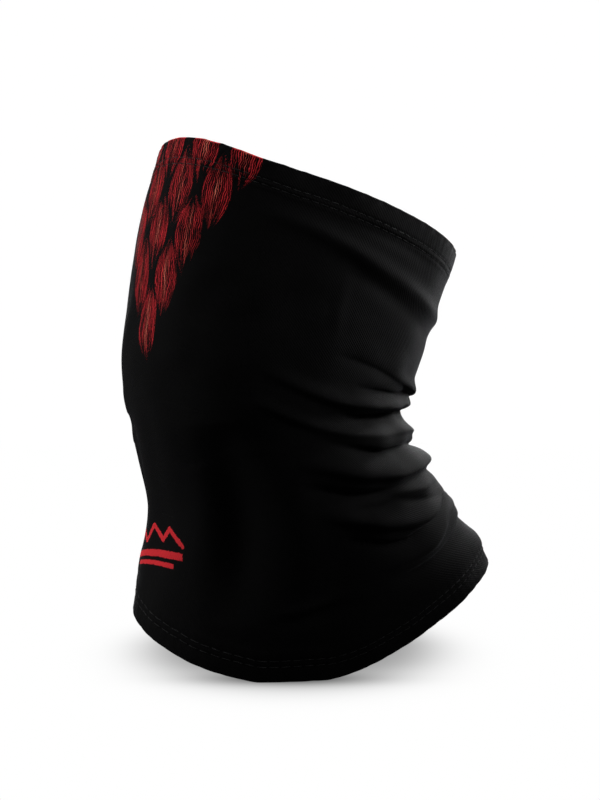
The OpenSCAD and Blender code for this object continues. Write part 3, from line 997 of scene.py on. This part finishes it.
def make_hem(name, node, from_edge, flip, ink=None):
    outline = hem_outline()
    if flip:
        outline = outline[::-1]
    a = np.linspace(-180, 180, 360, endpoint=False)
    s, depth = outline[:, 0][None], outline[:, 1][None]
    u = np.stack([from_edge(np.full_like(a, v), a) for v in outline[:, 0]], 1)
    aa = np.broadcast_to(a[:, None], u.shape)
    height = fold_height(u, aa)
    wavy = depth + 0.12 * np.sin(aa * 0.61 + s) * (s > RIM) * (depth > RIM)
    points = place(u, aa, wavy, height)
    colour = np.zeros((u.size, 3))
    if ink is not None:
        face = (depth < 1.2 * RIM) & (s <= RIM + 0.01)
        shown = face & (np.abs(wrap(aa - PRINT_MIDDLE)) < HEM_PRINT_REACH)
        colour = ink(u, aa) * shown.reshape(-1, 1)
        colour[:, 1] = STRAND_PHASE
    x, y = cloth_xy(u, aa)
    y = y + np.where(depth > RIM, 1, 0) * s + 0 * aa
    cloth = np.stack([x, y, 0 * x], -1).reshape(-1, 3)
    return new_piece(name, points.reshape(-1, 3), tube_faces(len(a), len(outline), True), PRINT,
                     node, {"cloth": cloth, "fold": height.ravel(), "ink": colour})


# ---- Threads ----

THREAD_R = 0.22
SOFT_THREAD = 0.85   # radius of the loose threads inside, as a share of that
STITCH_SIDES = 6
FACE_PITCH = 6.0     # of the visible stitches
NECK_PITCH = 6.8
LOOP_PITCH = 3.0     # of the looper thread inside
LOOP_POINTS = 12     # on one loop


def sweep(centres, outs, radius, sides):
    """Cross-sections of a thread through the centres, whose first axis runs along it."""
    way = unit(np.gradient(centres, axis=-2))
    across = unit(np.cross(way, outs))
    high = np.cross(across, way)
    turn = np.linspace(0, 2 * np.pi, sides, endpoint=False)
    ring = np.cos(turn)[:, None] * across[..., None, :] + np.sin(turn)[:, None] * high[..., None, :]
    return centres[..., None, :] + np.asarray(radius)[..., None, None] * ring


def thread_values(lengths, sides):
    """The cloth attribute of a thread: millimetres along it and round it."""
    x = np.repeat(lengths, sides)
    y = np.tile(np.arange(sides) / sides * 2 * np.pi * THREAD_R, len(lengths))
    return {"cloth": np.stack([x, y, 0 * x], -1)}


def stitches_piece(name, node, rings, lengths, material):
    """Separate stitches from rings numbered [stitch, section, side]."""
    count, sections, sides = rings.shape[:3]
    one = tube_faces(sections, sides, False)
    faces = [[v + k * sections * sides for v in f] for k in range(count) for f in one]
    return new_piece(name, rings.reshape(-1, 3), faces, material, node,
                     thread_values(lengths.ravel(), sides))


def stitch_row(name, node, from_edge, s, arcs, pitch):
    """Single stitches that lie on the outer face and dive into it at both ends."""
    count = int(round(arcs[-1] / pitch))
    t = np.linspace(-1, 1, 11)
    arc = (np.arange(count)[:, None] + 0.5 + 0.43 * t[None]) * arcs[-1] / count
    a = np.interp(arc, arcs, ARC_ANGLES)
    slant = 0.12 * np.sin(np.arange(count) * 2.4)[:, None] * t[None]
    u = from_edge(s + slant, a)
    lift = 0.58 * np.sqrt(np.maximum(0, 1 - t**8)) - 0.42
    centres = place(u, a, -lift[None])
    outs, _ = skin_frame(u, a)
    radius = THREAD_R * (0.8 + 0.2 * np.sqrt(np.maximum(0, 1 - t**2)))
    rings = sweep(centres, outs, np.broadcast_to(radius, a.shape), STITCH_SIDES)
    return stitches_piece(name, node, rings, arc, THREAD)


def long_thread(name, node, u, a, depth, sides, closed=False):
    """One looper thread through places on the cloth, with two ends or none."""
    centres = place(u, a, depth)
    outs, _ = skin_frame(u, a)
    lengths = run_length(centres)
    if closed:
        centres, outs = (np.concatenate([v[-2:], v, v[:2]]) for v in (centres, outs))
    rings = sweep(centres, outs, np.full(len(centres), THREAD_R * SOFT_THREAD), sides)
    if closed:
        rings = rings[2:-2]
    return new_piece(name, rings.reshape(-1, 3), tube_faces(len(u), sides, closed), LOOPER,
                     node, thread_values(lengths, sides))


def make_looper(name, node, from_edge, row, arcs):
    """Looper thread: a loop at each stitch, swinging between the two needle rows."""
    count = int(round(arcs[-1] / LOOP_PITCH))
    t = np.arange(count * LOOP_POINTS) / LOOP_POINTS
    arc = (t + 0.5 + 0.42 * np.sin(2 * np.pi * t)) / count * arcs[-1] % arcs[-1]
    a = np.interp(arc, arcs, ARC_ANGLES)
    s = row + NEEDLE_GAP / 2 + (NEEDLE_GAP / 2 + 0.35) * np.sin(2 * np.pi * t + 0.9)
    depth = 2 * RIM + THREAD_R * 0.9 + 0.16 * np.sin(4 * np.pi * t)
    return long_thread(name, node, from_edge(s, a), a, depth, 5, True)


# ---- Back seam and label, inside ----

SEAM_STEP = 5.0      # width of an allowance, degrees
SEAM_START = 180.15  # angle of its root
SEAM_GAP = 0.03      # between plies
SEAM_POINTS = 700    # along the seam's needle thread
SEAM_STITCHES = 70
OVERLOCK_LOOPS = 68


def open_rows(a_mid, count):
    """u from just above the neck hem to just below the face hem."""
    low, high = from_neck(HEM_W, a_mid), from_face(HEM_W, a_mid)
    return low + (high - low) * np.linspace(1 / 27, 26 / 27, count)


def make_allowance(name, node, depth, seed):
    """One pressed seam allowance, a strip beside the seam."""
    u = open_rows(180.0, 165)[:, None]
    f = np.linspace(0, 1, 9)[None]
    ragged = 1 + 0.035 * np.sin(u * 31 + seed) + 0.02 * np.sin(u * 83 + seed)
    a = SEAM_START + SEAM_STEP * f * ragged
    u = np.broadcast_to(u, a.shape)
    height = fold_height(u, a)
    lift = 0.25 * f**3 * (1 + np.sin(u * 9 + seed))
    near = place(u, a, depth + lift, height)
    far = place(u, a, depth + CLOTH_T + lift, height)
    values = [attributes_of(u, a, height)] * 2
    return sheet_piece(name, node, [near, far], values, (1, 1), KNIT_BACK)


SEAM_DEPTH = 3 * CLOTH_T + 2 * SEAM_GAP + 0.30


def make_overlock():
    """Overlock thread, in loops over the edge of both allowances."""
    t = np.arange(OVERLOCK_LOOPS * LOOP_POINTS + 1) / LOOP_POINTS
    u = open_rows(180.0, 2)
    u = u[0] + (u[1] - u[0]) * clamp01((t + 0.35 * np.sin(2 * np.pi * t)) / OVERLOCK_LOOPS)
    share = 0.62 + 0.36 * np.cos(2 * np.pi * t)
    return long_thread("overlock_thread", "seam_overlock_thread", u, SEAM_START + SEAM_STEP * share,
                       SEAM_DEPTH + 0.25 * share**3 + 0.1 * np.sin(2 * np.pi * t), 6)


def make_seam_row():
    """Needle thread through both allowances."""
    t = np.linspace(0, 1, SEAM_POINTS)
    u = open_rows(180.0, 2)
    u = u[0] + (u[1] - u[0]) * t
    wave = np.sin(2 * np.pi * t * SEAM_STITCHES)
    return long_thread("seam_thread", "seam_needle_thread", u,
                       SEAM_START + SEAM_STEP * (0.17 + 0.012 * wave), SEAM_DEPTH + 0.12 * wave, 6)


LABEL_T = 0.25
LABEL_DEPTH = CLOTH_T + 0.06    # of the label's face, a little off the cloth
LABEL_SPAN = 15.0               # from the seam to the fold, degrees
LABEL_FOLD_GAP = 0.1
LABEL_POINTS = 22               # from the seam to the fold
LABEL_WEAVE = (21, 52)          # size of the woven pattern on it
TACK_STITCHES = 18
STATION_MM = 40                 # rough length of a station, for the thread's twist
TACK_ANGLE = 180 - 1.25


def label_rows():
    """u of the label's rows, along the seam."""
    low, high = from_neck(HEM_W, 180.0), from_face(HEM_W, 180.0)
    return low + (high - low) * np.linspace(4 / 27, 11 / 27, 61)


def make_label():
    """Folded ribbon: out from the seam, round its fold and back, a little curled."""
    out = np.linspace(0, 1, LABEL_POINTS)
    half = LABEL_T + LABEL_FOLD_GAP / 2
    turn = np.radians(np.linspace(-90, 90, 9)[1:-1])
    share = np.concatenate([out, 1 + half / 20 * np.cos(turn), out[::-1]])
    rise = np.concatenate([-np.ones(LABEL_POINTS), np.sin(turn), np.ones(LABEL_POINTS)])
    u = label_rows()[:, None]
    a = np.broadcast_to(180 - LABEL_SPAN * share[None] * 0.97, (len(u), len(share)))
    uu = np.broadcast_to(u, a.shape)
    height = fold_height(uu, a)
    curl = 2.2 * clamp01(share)[None] ** 2 * (1 + 0.35 * np.sin(uu * 4))
    middle = LABEL_DEPTH + half + curl
    outside = place(uu, a, middle + rise[None] * half, height)
    inside = place(uu, a, middle + rise[None] * (half - LABEL_T), height)
    x = np.broadcast_to(share[None] * LABEL_WEAVE[0], a.shape)
    y = np.broadcast_to(np.linspace(0, LABEL_WEAVE[1], len(u))[:, None], a.shape)
    values = [{"cloth": np.stack([x, y, 0 * x], -1).reshape(-1, 3)}] * 2
    return sheet_piece("blank_label", "care_label", [inside, outside], values, (1, 1), RIBBON)


def make_label_tack():
    """Small stitches that hold the label's ends."""
    rows = label_rows()
    t = np.linspace(-1, 1, 7)
    pitch = (rows[-1] - rows[0]) / TACK_STITCHES
    u = rows[0] + (np.arange(TACK_STITCHES)[:, None] + 0.5 + 0.42 * t[None]) * pitch
    a = np.full_like(u, TACK_ANGLE)
    top = LABEL_DEPTH + 2 * LABEL_T + LABEL_FOLD_GAP + 0.1
    centres = place(u, a, top + 0.25 * np.sqrt(np.maximum(0, 1 - t**4))[None] - 0.15)
    outs, _ = skin_frame(u, a)
    rings = sweep(centres, outs, np.full(u.shape, THREAD_R), STITCH_SIDES)
    return stitches_piece("label_stitches", "care_label_tack", rings, u * STATION_MM, WHITE_THREAD)


tube = make_tube()
front_face = make_film("printed_front", FRONT_WINDOW, 61, 75, front_ink)
badge_face = make_film("printed_badge", BADGE_WINDOW, 31, 18, badge_ink)
face_fold = make_hem("face_edge_fold", "face_hem", from_face, False, front_ink)
neck_fold = make_hem("neck_edge_fold", "neck_hem", from_neck, True)
stitching = [
    stitch_row("face_stitches_upper", "face_hem_upper_needle_thread", from_face, FACE_ROW,
               FACE_ARC, FACE_PITCH),
    stitch_row("face_stitches_lower", "face_hem_lower_needle_thread", from_face,
               FACE_ROW + NEEDLE_GAP, FACE_ARC, FACE_PITCH),
    stitch_row("neck_stitches_upper", "neck_hem_upper_needle_thread", from_neck,
               NECK_ROW + NEEDLE_GAP, NECK_ARC, NECK_PITCH),
    stitch_row("neck_stitches_lower", "neck_hem_lower_needle_thread", from_neck, NECK_ROW,
               NECK_ARC, NECK_PITCH),
    make_looper("face_looper", "face_hem_looper_thread", from_face, FACE_ROW, FACE_ARC),
    make_looper("neck_looper", "neck_hem_looper_thread", from_neck, NECK_ROW, NECK_ARC),
]
allowances = [
    make_allowance("allowance_first", "seam_allowance_left", CLOTH_T + SEAM_GAP, 0.0),
    make_allowance("allowance_second", "seam_allowance_right", 2 * (CLOTH_T + SEAM_GAP), 1.9),
]
seam_threads = [make_seam_row(), make_overlock()]
label = make_label()
label_tack = make_label_tack()


# ---- Studio ----

def stage_piece(name, points, faces, material):
    """Part of the studio, which the camera sees and the object isn't lit by."""
    piece = mesh_object(name, points, faces, material)
    piece.visible_diffuse = piece.visible_glossy = piece.visible_transmission = False
    return piece


def circle(radius, z, count):
    turns = [2 * math.pi * k / count for k in range(count)]
    return [(radius * math.cos(t), radius * math.sin(t), z) for t in turns]


SHADOW_AHEAD = -0.070    # m from the middle of the tube to the shadow's, towards CONTACT_ANGLE
SHADOW_ASIDE = -0.012    # and across that
SHADOW_NARROWING = 2.05  # length of the shadow for its width
SHADOW_CORE = 0.113      # m from its middle over which it is even
SHADOW_SOFTNESS = 0.083  # m beyond that over which it fades
SHADOW_FALL = 2.5        # how suddenly it fades
SHADOW_DEPTH = 0.64
CONTACT_ANGLE = 54       # of the middle of the hem's rest on the floor, degrees
CONTACT_AHEAD = 0.080    # m from the middle to each of the two places where the hem rests
CONTACT_WIDTH = 0.024    # of the darkening there, m
CONTACT_LENGTH = 0.044
CONTACT_DEPTH = 0.8
STUDIO_RADIUS = 6.0
WALL_RADIUS = 5.9


def make_floor():
    """A plain pale floor with a painted soft shadow round the hem, like the one an even studio light
    leaves.
    """
    n = Nodes("pale_floor")
    spot = n.node("ShaderNodeTexCoord").outputs["Object"]
    x, y, _ = n.split(spot)
    a = math.radians(CONTACT_ANGLE)
    ahead = n.plus(n.times(x, math.sin(a)), n.times(y, -math.cos(a)))
    aside = n.plus(n.times(x, math.cos(a)), n.times(y, math.sin(a)))
    off_ahead = n.minus(ahead, SHADOW_AHEAD)
    off_aside = n.minus(aside, SHADOW_ASIDE)
    gone = n.length(off_ahead, n.times(off_aside, SHADOW_NARROWING))
    gone = n.over(n.math("MAXIMUM", n.minus(gone, SHADOW_CORE), 0.0), SHADOW_SOFTNESS)
    shade = n.math("EXPONENT", n.times(n.math("POWER", gone, SHADOW_FALL), -1.0))
    from_contact = n.minus(n.math("ABSOLUTE", ahead), CONTACT_AHEAD)
    gone = n.length(n.over(from_contact, CONTACT_WIDTH), n.over(off_aside, CONTACT_LENGTH))
    contact = n.math("EXPONENT", n.times(n.times(gone, gone), -1.0))
    light = n.minus(1.0, n.times(shade, SHADOW_DEPTH))
    near = n.minus(1.0, n.times(contact, CONTACT_DEPTH))
    light = n.times(light, near)
    # Painted shadow: the floor's glow is darker round the hem, most of all where the hem rests on it.
    n.set(Base_Color=(0, 0, 0, 1), Roughness=0.9, Specular_IOR_Level=0.0, Emission_Strength=1.0,
          Emission_Color=n.mix(light, (0, 0, 0, 1), (1, 1, 1, 1)))
    stage_piece("floor", circle(STUDIO_RADIUS, -0.0002, 64), [list(range(64))], n.material)


def make_backdrop():
    """A white wall all round, far away."""
    n = Nodes("white_wall")
    n.set(Base_Color=(0, 0, 0, 1), Emission_Color=(1, 1, 1, 1), Emission_Strength=1.0)
    count = 48
    points = circle(WALL_RADIUS, -0.3, count) + circle(WALL_RADIUS, 4.0, count)
    faces = [(k, count + k, count + (k + 1) % count, (k + 1) % count) for k in range(count)]
    wall = stage_piece("backdrop", points, faces, n.material)
    wall.visible_shadow = False


def add_light(name, angle, elevation, distance, size, power, aim, spread):
    """A soft square light in a direction round the object, aimed at a height on its axis."""
    data = bpy.data.lights.new(name, "AREA")
    data.size = size
    data.energy = power
    data.spread = math.radians(spread)
    lamp = bpy.data.objects.new(name, data)
    bpy.context.scene.collection.objects.link(lamp)
    a, e = math.radians(angle), math.radians(elevation)
    way = np.array([math.sin(a) * math.cos(e), -math.cos(a) * math.cos(e), math.sin(e)])
    lamp.location = way * distance + np.array([0, 0, aim])
    lamp.rotation_euler = (math.pi / 2 - e, 0, a)


SKY = 0.05


def make_world():
    world = bpy.data.worlds.new("studio")
    bpy.context.scene.world = world
    world.use_nodes = True
    background = world.node_tree.nodes["Background"]
    background.inputs["Color"].default_value = (1, 1, 1, 1)
    background.inputs["Strength"].default_value = SKY


# name, angle round the object, elevation, distance, size, watts, height aimed at, spread
LIGHTS = (
    ("rim_back_right", 200, 18, 1.0, 0.45, 0.50, 0.31, 30),
    ("key_right", 171, 18, 0.85, 0.32, 0.29, 0.34, 28),
    ("front_fill", -32, 22, 1.3, 0.8, 11.0, 0.21, 180),
    ("top_right", 130, 40, 0.9, 0.38, 0.35, 0.34, 28),
    ("back_fill", 236, 28, 1.8, 1.2, 32, 0.15, 180),
)
make_floor()
make_backdrop()
make_world()
for light in LIGHTS:
    add_light(*light)
bpy.context.scene.view_settings.view_transform = "Standard"
